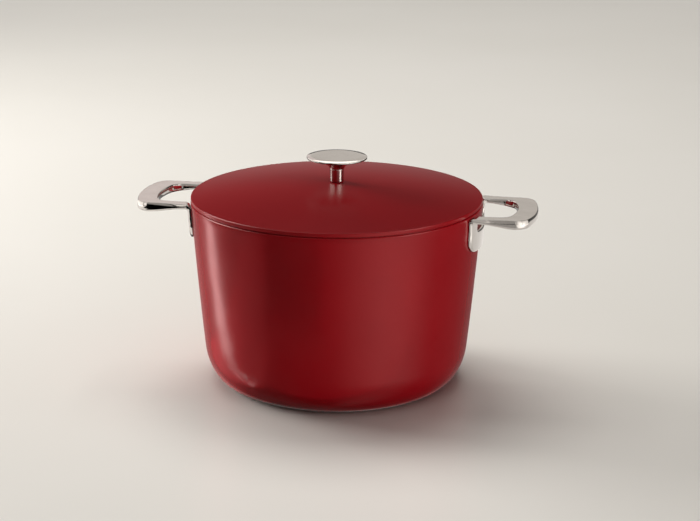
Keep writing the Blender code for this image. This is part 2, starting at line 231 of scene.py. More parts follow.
def lathe(name, spans, steps, materials, body, node):
    """Closed solid of revolution. A span is (material number, points); each goes on from the one before.

    Points run clockwise with the axis on their left, and an open profile starts and ends on the axis."""
    profile, zones = [spans[0][1][0]], []
    for zone, points in spans:
        for point in points:
            if (Vector(point) - Vector(profile[-1])).length > TINY:
                profile.append(point)
                zones.append(zone)
    closed = profile[0][0] > TINY
    if closed and (Vector(profile[0]) - Vector(profile[-1])).length < TINY:
        profile.pop()
    elif closed:
        zones.append(spans[-1][0])
    vertices, rings = [], []
    for r, z in profile:
        first = len(vertices)
        if r <= TINY:
            vertices.append((0.0, 0.0, z))
            rings.append([first] * steps)
            continue
        for k in range(steps):
            angle = math.tau * k / steps
            vertices.append((r * math.cos(angle), r * math.sin(angle), z))
        rings.append(list(range(first, first + steps)))
    pairs = list(zip(rings, rings[1:]))
    if closed:
        pairs.append((rings[-1], rings[0]))
    faces, slots = [], []
    for zone, (upper, lower) in zip(zones, pairs):
        for k in range(steps):
            n = (k + 1) % steps
            corners = [upper[k], lower[k], lower[n], upper[n]]
            faces.append(list(dict.fromkeys(corners)))
            slots.append(zone)
    return add_piece(name, vertices, faces, slots, materials, body, [node])


def line(start, end, steps):
    return [tuple(a + (b - a) * i / steps for a, b in zip(start, end)) for i in range(steps + 1)]


# ---------------------------------------------------------------- pot and lid

def pot_body(coat, lining):
    """Pan in one piece: lining inside; coating over the rim, down the wall and under the foot."""
    floor_edge, floor_tip = (CORNER_FOOT - WALL, FLOOR_TOP), (CORNER_TIP - WALL, FLOOR_TOP)
    wall_foot = (wall_radius(CORNER_HEIGHT) - WALL, CORNER_HEIGHT)
    inside = line((0.0, FLOOR_TOP), floor_edge, 6)
    inside += conic(floor_edge, floor_tip, wall_foot, CORNER_WEIGHT, 16)
    for i in range(1, 13):
        height = CORNER_HEIGHT + (RIM_HEIGHT - RIM_ROUND - CORNER_HEIGHT) * i / 12
        inside.append((wall_radius(height) - WALL, height))
    rim = arc(RIM_RADIUS - WALL + RIM_ROUND, RIM_HEIGHT - RIM_ROUND, RIM_ROUND, 180, 90, 6)
    rim += arc(RIM_RADIUS - RIM_ROUND, RIM_HEIGHT - RIM_ROUND, RIM_ROUND, 90, 4, 8)
    outside = []
    for i in range(1, 25):
        height = RIM_HEIGHT - RIM_ROUND + (CORNER_HEIGHT - RIM_HEIGHT + RIM_ROUND) * i / 24
        outside.append((wall_radius(height), height))
    corner = conic(outside[-1], (CORNER_TIP, 0.0), (CORNER_FOOT, 0.0), CORNER_WEIGHT, 32)
    outside += [point for point in corner[1:] if point[1] > 1.3 * UNDERSIDE]
    recess, recess_top = DISC_HIGH.x + DISC_GAP, DISC_HIGH.z + DISC_CLEARANCE
    under = [outside[-1], (recess + RECESS_CHAMFER, UNDERSIDE), (recess, UNDERSIDE)]
    under += [(recess, recess_top), (0.0, recess_top)]
    spans = [(1, inside), (0, rim), (0, outside), (0, under)]
    return lathe("pot_body_fine", spans, FINE, [coat, lining], "pot", "pot_body")


def base_disc(steel):
    """Turned steel disc with three shallow rings and a centre mark in its underside."""
    edge, top = DISC_HIGH.x, DISC_HIGH.z
    points = [(0.0, top), (edge, top)]
    points += arc(edge - DISC_CHAMFER, DISC_CHAMFER, DISC_CHAMFER, 0, -90, 4)
    half = GROOVE_HALF_WIDTH
    for radius in GROOVES:
        points += [(radius + half, 0.0), (radius + half / 2, GROOVE_DEPTH)]
        points += [(radius - half / 2, GROOVE_DEPTH), (radius - half, 0.0)]
    points += CENTRE_MARK
    return lathe("base_disc_fine", [(0, points)], FINE, [steel], "pot", "base_plate")


def lid_shell(coat, lining):
    """Dome, rounded edge, land that rests on the rim, and skirt inside it."""
    edge_bottom = RIM_HEIGHT + LID_LIP
    land_bottom = RIM_HEIGHT + LAND_GAP
    skirt_inner = SKIRT_RADIUS - SKIRT_THICKNESS
    skirt_bottom = LID_LOW.z
    round_r = LID_RADIUS - LID_EDGE_ROUND
    top = []
    for i in range(25):
        radius = SCREW_BORE + (round_r - SCREW_BORE) * i / 24
        top.append((radius, lid_height(radius)))
    edge = arc(round_r, lid_height(round_r) - LID_EDGE_ROUND, LID_EDGE_ROUND, LID_EDGE_START, 0, 8)
    edge += arc(LID_RADIUS - LID_LIP_ROUND, edge_bottom + LID_LIP_ROUND, LID_LIP_ROUND, 0, -90, 5)
    land = [(LAND_RADIUS, edge_bottom), (LAND_RADIUS, land_bottom), (SKIRT_RADIUS, land_bottom)]
    under = arc(SKIRT_RADIUS - SKIRT_ROUND, skirt_bottom + SKIRT_ROUND, SKIRT_ROUND, 0, -90, 4)
    under += arc(skirt_inner + SKIRT_ROUND, skirt_bottom + SKIRT_ROUND, SKIRT_ROUND, -90, -180, 4)
    for i in range(25):
        radius = skirt_inner + (SCREW_BORE - skirt_inner) * i / 24
        under.append((radius, lid_height(radius) - LID_SHEET))
    spans = [(0, top), (0, edge), (0, land), (1, under)]
    return lathe("lid_shell_fine", spans, FINE, [coat, lining], "lid", "lid_shell")


def knob_head(steel):
    """Round top, flat in its middle and falling towards the rim, on a flared neck."""
    radius, top = KNOB_HIGH.x, KNOB_HIGH.z
    neck = KNOB_LOW.z - NECK_SINK
    shoulder, edge = KNOB_FLAT * radius, radius - KNOB_EDGE
    rim_low = top - KNOB_FALL - 2 * KNOB_EDGE - KNOB_BAND
    flare = edge - NECK_RADIUS
    points = line((0.0, top), (shoulder, top), 6)
    for i in range(1, 13):
        t = i / 12
        points.append((shoulder + (edge - shoulder) * t, top - KNOB_FALL * t * t))
    slope = math.degrees(math.atan(2 * KNOB_FALL / (edge - shoulder)))
    points += arc(edge, top - KNOB_FALL - KNOB_EDGE, KNOB_EDGE, 90 - slope, 0, 8)[1:]
    points += arc(edge, rim_low + KNOB_EDGE, KNOB_EDGE, 0, -75, 8)
    for i in range(1, 29):
        t = 1.0 - i / 28
        points.append((NECK_RADIUS + flare * t * t, neck + (rim_low - neck) * t))
    points += [(SCREW_BORE, neck), (SCREW_BORE, neck + KNOB_BORE_DEPTH), (0.0, neck + KNOB_BORE_DEPTH)]
    return lathe("knob_head_fine", [(0, points)], FINE, [steel], "lid", "knob_head")


def knob_stem(steel):
    radius, low, high = STEM_HIGH.x, STEM_LOW.z - STEM_SINK, STEM_HIGH.z
    shoulder, side = radius - STEM_ROUND, 1.2 * STEM_ROUND
    points = [(SCREW_BORE, high), (shoulder, high)]
    points += arc(shoulder, high - STEM_ROUND, STEM_ROUND, 90, 0, 4)
    points += line((radius, high - side), (radius, low + side), 6)
    points += arc(shoulder, low + STEM_ROUND, STEM_ROUND, 0, -90, 4)
    points += [(SCREW_BORE, low)]
    return lathe("knob_stem_fine", [(0, points)], MEDIUM, [steel], "lid", "knob_stem")


def ring_points(outer, inner, low, high, bevel):
    """Section of a flat ring with a rounded outer edge."""
    points = [(inner, high)] + arc(outer - bevel, high - bevel, bevel, 90, 0, 3)
    return points + arc(outer - bevel, low + bevel, bevel, 0, -90, 3) + [(inner, low)]


# ---------------------------------------------------------------- handles

def bowed_half(reach, half_width, corner, bow, bar_steps, corner_steps):
    """Half of an outline's end: from its middle along a wide arc, then round the corner to the side."""
    centre = reach - bow
    corner_y = half_width - corner
    corner_x = centre + math.sqrt((bow - corner) ** 2 - corner_y**2)
    turn = math.degrees(math.atan2(corner_y, corner_x - centre))
    bar = arc(centre, 0.0, bow, 0, turn, bar_steps)
    return bar, arc(corner_x, corner_y, corner, turn, 90, corner_steps)


def hermite(a, b, slope_a, slope_b, length, t):
    """Value at t between a and b, with given slopes at both ends."""
    t2, t3 = t * t, t * t * t
    return (
        (2 * t3 - 3 * t2 + 1) * a + (t3 - 2 * t2 + t) * slope_a * length
        + (3 * t2 - 2 * t3) * b + (t3 - t2) * slope_b * length
    )


BEND_SLOPE = wall_slope(GRIP_TOP - BEND)
BEND_FOOT = GRIP_TOP - BEND * (1 - math.sin(BEND_SLOPE))  # height where the bend leaves the wall
BEND_RADIUS = wall_radius(BEND_FOOT) + FLANGE_GAP + BEND * math.cos(BEND_SLOPE)  # where the flat grip starts
BEND_LENGTH = BEND * (math.pi / 2 - BEND_SLOPE)
SLOPE_COS = math.cos(BEND_SLOPE)


def sheet_point(s, v, depth):
    """A point of the handle: s along the sheet from the bend outwards, v across, depth below its top face."""
    if s >= 0:
        return (math.sqrt(BEND_RADIUS**2 - v**2) + s, v, GRIP_TOP - depth)
    if s > -BEND_LENGTH:
        turn = -s / BEND
        r = BEND_RADIUS - (BEND - depth) * math.sin(turn)
        return (math.sqrt(r**2 - v**2), v, GRIP_TOP - BEND + (BEND - depth) * math.cos(turn))
    z = BEND_FOOT + (s + BEND_LENGTH) * SLOPE_COS
    slope = wall_slope(z)
    r = wall_radius(z) + FLANGE_GAP + depth * math.cos(slope)
    return (math.sqrt(r**2 - v**2), v, z - depth * math.sin(slope))


def sheet_depth(s):
    """The handle's thickness."""
    depth = FLANGE + (GRIP_THIN - FLANGE) * smooth((s + BEND_LENGTH) / (BEND_LENGTH + 3 * MM))
    depth += (GRIP_THICK - GRIP_THIN) * smooth(s / GRIP_SWELL)
    return depth + BEND_FILLET * math.exp(-(((s + BEND_LENGTH / 2) / BEND_FILLET_SPREAD) ** 2))


def sheet_s(x, v):
    """Distance along the flat grip of the point at x and across v."""
    return x - math.sqrt(BEND_RADIUS**2 - v**2)


def handle_outlines():
    """Outer and inner edge of the handle's sheet, as matching (s, v) points for its +Y half."""
    bar, side, turn, leg, foot = 14, 16, 14, 12, 14
    out_bar, out_corner = bowed_half(GRIP_REACH, GRIP_HALF_WIDTH, GRIP_CORNER, GRIP_BOW, bar, foot)
    in_bar, in_corner = bowed_half(WINDOW_REACH, WINDOW_HALF_WIDTH, WINDOW_CORNER, WINDOW_BOW, bar, foot)
    outer = [(sheet_s(x, v), v) for x, v in out_bar + out_corner[1:]]
    inner = [(sheet_s(x, v), v) for x, v in in_bar + in_corner[1:]]
    side_s, window_s = outer[-1][0], inner[-1][0]
    for i in range(1, side + 1):
        t = 1 - i / side
        flare = GRIP_ROOT_HALF_WIDTH - GRIP_HALF_WIDTH
        outer.append((side_s * t, GRIP_HALF_WIDTH + flare * (1 - t) ** 2))
        inner.append((window_s * t, WINDOW_HALF_WIDTH))
    bottom = BEND_LENGTH + (BEND_FOOT - FLANGE_BOTTOM - FLANGE_LIFT) / SLOPE_COS
    sill = BEND_LENGTH + (BEND_FOOT - WINDOW_SILL) / SLOPE_COS
    low_bar, low_corner = bowed_half(bottom, FLANGE_HALF_WIDTH, FLANGE_CORNER, FLANGE_BOW, bar, foot)
    sill_bar, sill_corner = bowed_half(sill, WINDOW_FOOT_HALF_WIDTH, SILL_CORNER, FLANGE_BOW, bar, foot)
    leg_end, sill_end = low_corner[-1][0], sill_corner[-1][0]
    for i in range(1, turn + leg + 1):
        if i <= turn:
            s = sill_s = BEND_LENGTH * i / turn
        else:
            s = BEND_LENGTH + (leg_end - BEND_LENGTH) * (i - turn) / leg
            sill_s = BEND_LENGTH + (sill_end - BEND_LENGTH) * (i - turn) / leg
        width = hermite(GRIP_ROOT_HALF_WIDTH, FLANGE_HALF_WIDTH, GRIP_ROOT_FLARE, 0, leg_end, s / leg_end)
        outer.append((-s, width))
        narrow = WINDOW_HALF_WIDTH - WINDOW_FOOT_HALF_WIDTH
        inner.append((-sill_s, WINDOW_HALF_WIDTH - narrow * smooth(sill_s / sill_end)))
    outer += [(-x, v) for x, v in reversed(low_bar + low_corner[1:-1])]
    inner += [(-x, v) for x, v in reversed(sill_bar + sill_corner[1:-1])]
    return outer, inner


def handle_section(width, depth, grip):
    """Closed section of the sheet: (across from the outer edge, depth), steep above and full below."""
    edge = FLANGE_EDGE + (GRIP_EDGE - FLANGE_EDGE) * grip
    fall = FLANGE_EDGE + (GRIP_FALL * depth - FLANGE_EDGE) * grip
    reach = min(FLANGE_FULLNESS + (GRIP_FULLNESS - FLANGE_FULLNESS) * grip, 0.45 * width)
    drop = FLANGE_FULLNESS + (depth - fall - FLANGE_FULLNESS) * grip
    drop = min(drop, depth - fall - SECTION_GAP)
    quarter = [math.pi / 2 * i / 8 for i in range(9)]
    upper = [(edge - edge * math.sin(a), fall - fall * math.cos(a)) for a in quarter]
    under = [(reach - reach * math.cos(a), depth - drop + drop * math.sin(a)) for a in quarter]
    flat = 8
    points = []
    for i in range(flat + 1):
        share = 0.5 - 0.5 * math.cos(math.pi * i / flat)
        points.append((edge + (width - 2 * edge) * share, 0.0))
    points += [(width - x, d) for x, d in upper[1:]]
    points += [(width - x, d) for x, d in under]
    for i in range(1, flat):
        points.append((width - reach - (width - 2 * reach) * i / flat, depth))
    points += list(reversed(under))
    return points + list(reversed(upper))[:-1]


def handle(side, steel):
    """One closed ring of sections: far bar, sides, bend, flange."""
    outer, inner = handle_outlines()
    outer += [(s, -v) for s, v in reversed(outer[1:-1])]
    inner += [(s, -v) for s, v in reversed(inner[1:-1])]
    vertices = []
    for (so, vo), (si, vi) in zip(outer, inner):
        width = math.hypot(si - so, vi - vo)
        middle = (so + si) / 2
        grip = smooth((middle + BEND_LENGTH / 2) / GRIP_BLEND)
        for across, depth in handle_section(width, sheet_depth(middle), grip):
            t = across / width
            s, v = so + (si - so) * t, vo + (vi - vo) * t
            share = depth / sheet_depth(middle)
            x, y, z = sheet_point(s, v, share * sheet_depth(s))
            vertices.append((side * x, side * y, z))
    count = len(vertices) // len(outer)
    faces = []
    for i in range(len(outer)):
        here, there = i * count, (i + 1) % len(outer) * count
        for k in range(count):
            n = (k + 1) % count
            faces.append([here + k, there + k, there + n, here + n])
    name = "right" if side > 0 else "left"
    zones, nodes = [0] * len(faces), ["handle_" + name]
    return add_piece("handle_fine_" + name, vertices, faces, zones, [steel], "pot", nodes)


# ---------------------------------------------------------------- fasteners

def wall_matrix(node):
    """A rivet's centre, and the turn that points its +Z along its axis, out through the wall."""
    low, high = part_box(node)
    centre = (low + high) / 2
    turn = Matrix.Rotation(math.atan2(centre.y, centre.x), 4, "Z")
    return centre, turn @ Matrix.Rotation(math.pi / 2 + wall_slope(centre.z), 4, "Y")


def rivet(node, steel):
    """Low round head on the inside of the wall; the shank is hidden in it."""
    centre, turn = wall_matrix(node)
    inner = wall_radius(centre.z) - WALL
    dome = conic((0.0, -RIVET_HEIGHT), (RIVET_HEAD, -RIVET_HEIGHT), (RIVET_HEAD, -RIVET_LIP), 0.75, 10)
    points = [(0.0, RIVET_LENGTH), (RIVET_SHANK, RIVET_LENGTH), (RIVET_SHANK, 0.0)]
    points += [(RIVET_HEAD - RIVET_UNDERCUT, 0.0)] + list(reversed(dome))
    piece = lathe(node + "_fine", [(0, points)], SMALL, [steel], "pot", node)
    direction = Vector((centre.x, centre.y, 0.0)).normalized()
    place = Matrix.Translation(direction * inner + Vector((0.0, 0.0, centre.z)))
    piece.data.transform(place @ turn)
    return piece


def washers(steel, rubber):
    """The gasket under the stem, and the flat washer under the lid."""
    ring = ring_points(GASKET_HIGH.x, SCREW_BORE, GASKET_LOW.z - GASKET_SINK, GASKET_HIGH.z, GASKET_ROUND)
    lathe("knob_gasket_fine", [(0, ring)], MEDIUM, [rubber], "lid", "knob_gasket")
    low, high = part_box("flat_washer")
    ring = ring_points(high.x, SCREW_BORE, low.z, high.z, WASHER_ROUND)
    lathe("flat_washer_fine", [(0, ring)], MEDIUM, [steel], "lid", "flat_washer")


# ---------------------------------------------------------------- materials

# Each surface wanders between two tones, in linear RGB
RED_TONES = ((0.19, 0.0012, 0.004), (0.205, 0.0015, 0.0045))
LINING_TONES = ((0.16, 0.155, 0.15), (0.2, 0.195, 0.185))
POLISHED_TONES = ((0.60, 0.575, 0.545), (0.66, 0.635, 0.605))
DISC_TONES = ((0.38, 0.37, 0.355), (0.5, 0.49, 0.47))
FASTENER_TONES = ((0.45, 0.45, 0.44), (0.6, 0.6, 0.59))
SILICONE_TONES = ((0.1, 0.004, 0.006), (0.14, 0.006, 0.009))
FLOOR_TONES = ((0.66, 0.64, 0.60), (0.70, 0.68, 0.645))
GLOSS_TINT = (1.0, 0.8, 0.78)
SHEEN_TINT = (1.0, 0.06, 0.07)
NOISE_RANGE = (0.3, 0.7)  # most of a noise's values lie between these


def new_material(name, roughness, metallic):
    made = bpy.data.materials.new(name)
    made.use_nodes = True
    nodes, links = made.node_tree.nodes, made.node_tree.links
    shader = nodes["Principled BSDF"]
    shader.inputs["Roughness"].default_value = roughness
    shader.inputs["Metallic"].default_value = metallic
    place = nodes.new("ShaderNodeTexCoord")
    return made, nodes, links, shader, place.outputs["Object"]


def noise(nodes, links, place, scale, detail=3.0, stretch=None):
    if stretch:
        mapping = nodes.new("ShaderNodeMapping")
        mapping.inputs["Scale"].default_value = stretch
        links.new(place, mapping.inputs["Vector"])
        place = mapping.outputs["Vector"]
    made = nodes.new("ShaderNodeTexNoise")
    made.inputs["Scale"].default_value = scale
    made.inputs["Detail"].default_value = detail
    links.new(place, made.inputs["Vector"])
    return made.outputs["Fac"]


def mapped(nodes, links, source, span, low, high):
    """Maps a value from a span to the range from low to high, and holds it there."""
    made = nodes.new("ShaderNodeMapRange")
    for label, value in zip(("From Min", "From Max", "To Min", "To Max"), (*span, low, high)):
        made.inputs[label].default_value = value
    links.new(source, made.inputs["Value"])
    return made.outputs["Result"]


def colour(nodes, links, shader, grain, tones):
    """Base colour between two tones, by a noise."""
    made = nodes.new("ShaderNodeMix")
    made.data_type = "RGBA"
    links.new(mapped(nodes, links, grain, NOISE_RANGE, 0.0, 1.0), made.inputs["Factor"])
    made.inputs["A"].default_value = (*tones[0], 1.0)
    made.inputs["B"].default_value = (*tones[1], 1.0)
    links.new(made.outputs["Result"], shader.inputs["Base Color"])


def roughen(nodes, links, shader, grain, low, high):
    links.new(mapped(nodes, links, grain, NOISE_RANGE, low, high), shader.inputs["Roughness"])


def bump(nodes, links, shader, height, strength, distance):
    made = nodes.new("ShaderNodeBump")
    made.inputs["Strength"].default_value = strength
    made.inputs["Distance"].default_value = distance
    links.new(height, made.inputs["Height"])
    links.new(made.outputs["Normal"], shader.inputs["Normal"])


def red_coat(name, sheen, smoothest, roughest):
    """Satin baked coating: deep red with a faint red sheen, slightly uneven in gloss, faint orange peel."""
    made, nodes, links, shader, place = new_material(name, roughest, 0.0)
    colour(nodes, links, shader, noise(nodes, links, place, 18.0), RED_TONES)
    roughen(nodes, links, shader, noise(nodes, links, place, 45.0), smoothest, roughest)
    bump(nodes, links, shader, noise(nodes, links, place, 900.0, 2.0), 0.05, 0.1 * MM)
    shader.inputs["Specular Tint"].default_value = (*GLOSS_TINT, 1.0)
    shader.inputs["Sheen Weight"].default_value = sheen
    shader.inputs["Sheen Roughness"].default_value = 0.3
    shader.inputs["Sheen Tint"].default_value = (*SHEEN_TINT, 1.0)
    return made


def lining_coat():
    """Ceramic non-stick lining: warm grey with a fine mottle."""
    made, nodes, links, shader, place = new_material("ceramic_lining", 0.42, 0.0)
    speck = noise(nodes, links, place, 600.0, 4.0)
    colour(nodes, links, shader, speck, LINING_TONES)
    roughen(nodes, links, shader, noise(nodes, links, place, 30.0), 0.36, 0.46)
    bump(nodes, links, shader, speck, 0.06, 0.1 * MM)
    return made


def polished_steel():
    """Mirror-polished stainless steel with faint buffing haze."""
    made, nodes, links, shader, place = new_material("mirror_steel", 0.08, 1.0)
    colour(nodes, links, shader, noise(nodes, links, place, 60.0), POLISHED_TONES)
    roughen(nodes, links, shader, noise(nodes, links, place, 150.0, 4.0), 0.05, 0.10)
    buff = noise(nodes, links, place, 400.0, 2.0, (1.0, 1.0, 0.2))
    bump(nodes, links, shader, buff, 0.02, 0.05 * MM)
    return made


def turned_steel(name, tones, roughness):
    """Steel with fine turning rings round the pot's axis."""
    made, nodes, links, shader, place = new_material(name, roughness, 1.0)
    split = nodes.new("ShaderNodeSeparateXYZ")
    links.new(place, split.inputs["Vector"])
    flat = nodes.new("ShaderNodeCombineXYZ")
    links.new(split.outputs["X"], flat.inputs["X"])
    links.new(split.outputs["Y"], flat.inputs["Y"])
    length = nodes.new("ShaderNodeVectorMath")
    length.operation = "LENGTH"
    links.new(flat.outputs["Vector"], length.inputs[0])
    along = nodes.new("ShaderNodeCombineXYZ")
    links.new(length.outputs["Value"], along.inputs["X"])
    rings = noise(nodes, links, along.outputs["Vector"], 2200.0)
    colour(nodes, links, shader, rings, tones)
    roughen(nodes, links, shader, rings, roughness - 0.06, roughness + 0.06)
    bump(nodes, links, shader, rings, 0.25, 0.05 * MM)
    return made


def silicone():
    """Dull dark red rubber."""
    made, nodes, links, shader, place = new_material("silicone", 0.6, 0.0)
    grain = noise(nodes, links, place, 800.0)
    colour(nodes, links, shader, grain, SILICONE_TONES)
    roughen(nodes, links, shader, grain, 0.5, 0.7)
    return made


def floor_material():
    """Pale matt floor with faint clouds."""
    made, nodes, links, shader, place = new_material("pale_floor", 0.35, 0.0)
    colour(nodes, links, shader, noise(nodes, links, place, 1.2, 5.0), FLOOR_TONES)
    shader.inputs["Specular IOR Level"].default_value = 0.4
    return made


# ---------------------------------------------------------------- studio

GROUND = MM  # height of the panels that lie on the floor
MIDDLE = (0.0, 0.0, 0.1)
WHITE = (1.0, 0.98, 0.95)
WARM = (1.0, 0.94, 0.89)
PINK = (1.0, 0.66, 0.65)
RED = (1.0, 0.03, 0.05)

# The room: bearing in degrees from +X towards +Y, and the brightness of the wall there
ROOM = (
    (-180, 0.25), (-168, 0.2), (-150, 0.17), (-142, 0.04), (-134, 0.0), (-90, 0.0), (-80, 0.08),
    (-60, 0.5), (-40, 0.85), (-22, 0.75), (-2, 0.3), (10, 0.1), (40, 0.1), (60, 0.12),
    (90, 0.24), (120, 0.4), (135, 0.19), (150, 0.33), (165, 0.45), (180, 0.25),
)
ROOM_FADE = ((-0.7, 0.25), (-0.5, 1.0), (-0.02, 1.0), (0.24, 0.06))  # sine of elevation, share of brightness
ROOM_TINT = (1.0, 0.97, 0.93)
CEILING = 0.22
CEILING_SPAN = (0.5, 0.8)  # sines of elevation between which the ceiling comes in
BACKGROUND = (0.80, 0.775, 0.73)  # what the camera sees past the floor

# Lights in watts; the key, the fill and the rim light stand at a bearing, a distance and a height
KEY_PLACE, KEY_SIZE, KEY_POWER = (161, 2.2, 0.62), 1.1, 106.0
FLOOR_KEY_POWER, FLOOR_KEY_SPREAD = 29.0, 120.0
FILL_PLACE, FILL_SIZE, FILL_POWER = (-25, 2.0, 0.7), (1.8, 1.2), 44.0
RIM_PLACE, RIM_SIZE, RIM_POWER = (163, 2.0, 1.7), 1.5, 56.0
OVERHEAD_PLACE, OVERHEAD_SIZE, OVERHEAD_POWER = (0.0, 0.2, 2.4), 2.4, 10.0
KNOB_TOP_PLACE, KNOB_TOP_SIZE, KNOB_TOP_LEVEL = (0.0, 0.2, 2.0), 3.0, 0.35

# Boxes that light only the floor: name, place, aim, width, height, watts
FLOOR_BOXES = (
    ("backdrop", (-0.9, 1.9, 3.8), (-0.9, 1.9, 0.0), 3.6, 2.4, 158.0),
    ("ground_light", (1.2, -1.6, 1.6), (0.35, -0.3, 0.0), 1.6, 1.6, 5.0),
)

# The bright strip on the wall's lower left: near and far end, width and level of each part of its beam
STRIP_START, STRIP_BEARING = (-0.0964, -0.106), 157.2
STRIP = ((-0.02, 0.08, 0.02, 2.2), (0.08, 0.16, 0.036, 3.4), (0.16, 0.3, 0.055, 4.2), (0.3, 1.0, 0.085, 4.5))
LEFT_RED = ((-0.125, -0.052), -136, 0.0, 0.75, 0.18, 0.85)  # start, bearing, near, far, width, level

# Panels that only some pieces reflect: name, corner, opposite corner, level, tone
COAT_PANELS = (
    ("wall_glow", (-1.5, 1.9, 0.3), (1.2, 1.9, 1.3), 0.2, (1.0, 0.2, 0.2)),
    ("left_glow", (-1.6, -0.1, 0.3), (-1.6, 0.6, 0.8), 2.9, WARM),
    ("right_glow", (1.6, -1.0, 0.3), (1.6, -0.2, 0.8), 7.0, WARM),
    ("near_red", (-0.16, -0.26, GROUND), (0.0, -0.125, GROUND), 0.75, RED),
    ("front_red", (0.0, -0.6, GROUND), (0.45, -0.125, GROUND), 0.7, RED),
)
KNOB_AND_STEM_PANELS = (("stem_right", (1.0, -0.9, 0.2), (1.0, -0.3, 0.7), 1.8, WARM),)
STEEL_PANELS = (
    ("back_left", (-1.8, 1.95, 0.5), (-0.52, 1.95, 2.6), 0.78, (1.0, 0.88, 0.84)),
    ("back_right", (-0.52, 1.95, 0.5), (1.2, 1.95, 2.6), 0.61, (1.0, 0.93, 0.86)),
    ("front_right_near", (0.2, -1.1, 0.0), (0.4, -1.1, 1.5), 0.55, WARM),
    ("front_right_middle", (0.4, -1.1, 0.0), (0.6, -1.1, 1.5), 0.8, WARM),
    ("front_right_far", (0.6, -1.1, 0.0), (1.6, -1.1, 1.5), 1.15, WARM),
    ("front_left", (-2.0, -1.4, 0.0), (-0.85, -1.4, 1.6), 1.3, WARM),
    ("right", (1.0, -0.6, 0.0), (1.0, 0.35, 0.9), 1.0, WARM),
    ("left", (-1.0, -0.55, 0.0), (-1.0, 1.0, 0.9), 1.3, WARM),
)
KNOB_PANELS = (
    ("knob_back", (-1.5, 1.6, 1.05), (1.5, 1.6, 2.0), 1.3, WARM),
    ("knob_left", (-1.6, -1.4, 0.22), (-0.58, -1.4, 1.2), 1.5, WARM),
    ("knob_right", (-0.2, -1.4, 0.22), (0.4, -1.4, 1.2), 1.5, WARM),
    ("knob_high", (-0.6, -1.4, 0.7), (-0.2, -1.4, 1.4), 0.8, WARM),
)
GRIP_PANELS = (
    ("front_high", (-0.75, -1.4, 0.2), (0.25, -1.4, 2.6), 0.38, WARM),
    ("front_middle", (0.0, -1.4, 0.0), (0.25, -1.4, 0.2), 0.38, WARM),
    ("under_left", (-0.33, -0.2, GROUND), (-0.14, 0.0, GROUND), 1.0, WARM),
    ("bounce_front", (0.02, -1.1, GROUND), (0.28, -0.25, GROUND), 0.4, WARM),
    ("bounce_front_right", (0.28, -1.1, GROUND), (1.2, -0.25, GROUND), 1.1, WARM),
    ("bounce_front_left", (-1.2, -1.1, GROUND), (-0.75, -0.5, GROUND), 1.1, WARM),
    ("bounce_right", (0.1, -0.25, GROUND), (1.2, 0.9, GROUND), 0.68, WARM),
    ("bounce_left", (-1.2, 0.05, GROUND), (-0.2, 0.9, GROUND), 0.7, WARM),
    ("bounce_tip", (-1.2, -0.5, GROUND), (-0.33, 0.05, GROUND), 0.9, WARM),
)


def grey_ramp(nodes, links, source, stops):
    """Grey level by position, from (position, level) stops."""
    made = nodes.new("ShaderNodeValToRGB")
    elements = made.color_ramp.elements
    elements.remove(elements[-1])
    for i, (position, level) in enumerate(stops):
        stop = elements.new(position) if i else elements[0]
        stop.position = position
        stop.color = (level, level, level, 1.0)
    links.new(source, made.inputs["Fac"])
    return made.outputs["Color"]


def vector_math(nodes, links, operation, first, second):
    """Second is a socket, or a fixed vector."""
    made = nodes.new("ShaderNodeVectorMath")
    made.operation = operation
    links.new(first, made.inputs[0])
    if isinstance(second, tuple):
        made.inputs[1].default_value = second
    else:
        links.new(second, made.inputs[1])
    return made.outputs["Vector"]


def room_world():
    """Soft room: walls as ROOM says, fading upwards, and an even ceiling. The camera sees one pale tone."""
    world = bpy.data.worlds.new("room")
    bpy.context.scene.world = world
    world.use_nodes = True
    nodes, links = world.node_tree.nodes, world.node_tree.links
    place = nodes.new("ShaderNodeTexCoord")
    split = nodes.new("ShaderNodeSeparateXYZ")
    links.new(place.outputs["Generated"], split.inputs["Vector"])
    height = split.outputs["Z"]
    bearing = nodes.new("ShaderNodeMath")
    bearing.operation = "ARCTAN2"
    links.new(split.outputs["Y"], bearing.inputs[0])
    links.new(split.outputs["X"], bearing.inputs[1])
    turn = mapped(nodes, links, bearing.outputs["Value"], (-math.pi, math.pi), 0.0, 1.0)
    wall = grey_ramp(nodes, links, turn, [((angle + 180) / 360, level) for angle, level in ROOM])
    climb = mapped(nodes, links, height, (-1.0, 1.0), 0.0, 1.0)
    fade = grey_ramp(nodes, links, climb, [((sine + 1) / 2, share) for sine, share in ROOM_FADE])
    walls = vector_math(nodes, links, "MULTIPLY", wall, fade)
    ceiling = mapped(nodes, links, height, CEILING_SPAN, 0.0, CEILING)
    room = vector_math(nodes, links, "ADD", walls, ceiling)
    tinted = vector_math(nodes, links, "MULTIPLY", room, ROOM_TINT)
    path = nodes.new("ShaderNodeLightPath")
    seen = nodes.new("ShaderNodeMix")
    seen.data_type = "RGBA"
    links.new(path.outputs["Is Camera Ray"], seen.inputs["Factor"])
    links.new(tinted, seen.inputs["A"])
    seen.inputs["B"].default_value = (*BACKGROUND, 1.0)
    links.new(seen.outputs["Result"], nodes["Background"].inputs["Color"])


def softbox(name, place, aim, width, height, power, tone=WHITE, receivers=None, diffuse=True, glossy=True):
    """Rectangular soft light that the camera doesn't see."""
    data = bpy.data.lights.new(name, "AREA")
    data.shape = "RECTANGLE"
    data.size, data.size_y = width, height
    data.energy = power
    data.color = tone
    light = bpy.data.objects.new(name, data)
    bpy.context.scene.collection.objects.link(light)
    light.location = place
    light.rotation_euler = (Vector(aim) - Vector(place)).to_track_quat("-Z", "Y").to_euler()
    light.visible_camera = False
    light.visible_diffuse = diffuse
    light.visible_glossy = glossy
    if receivers:
        light.light_linking.receiver_collection = receivers
    return light


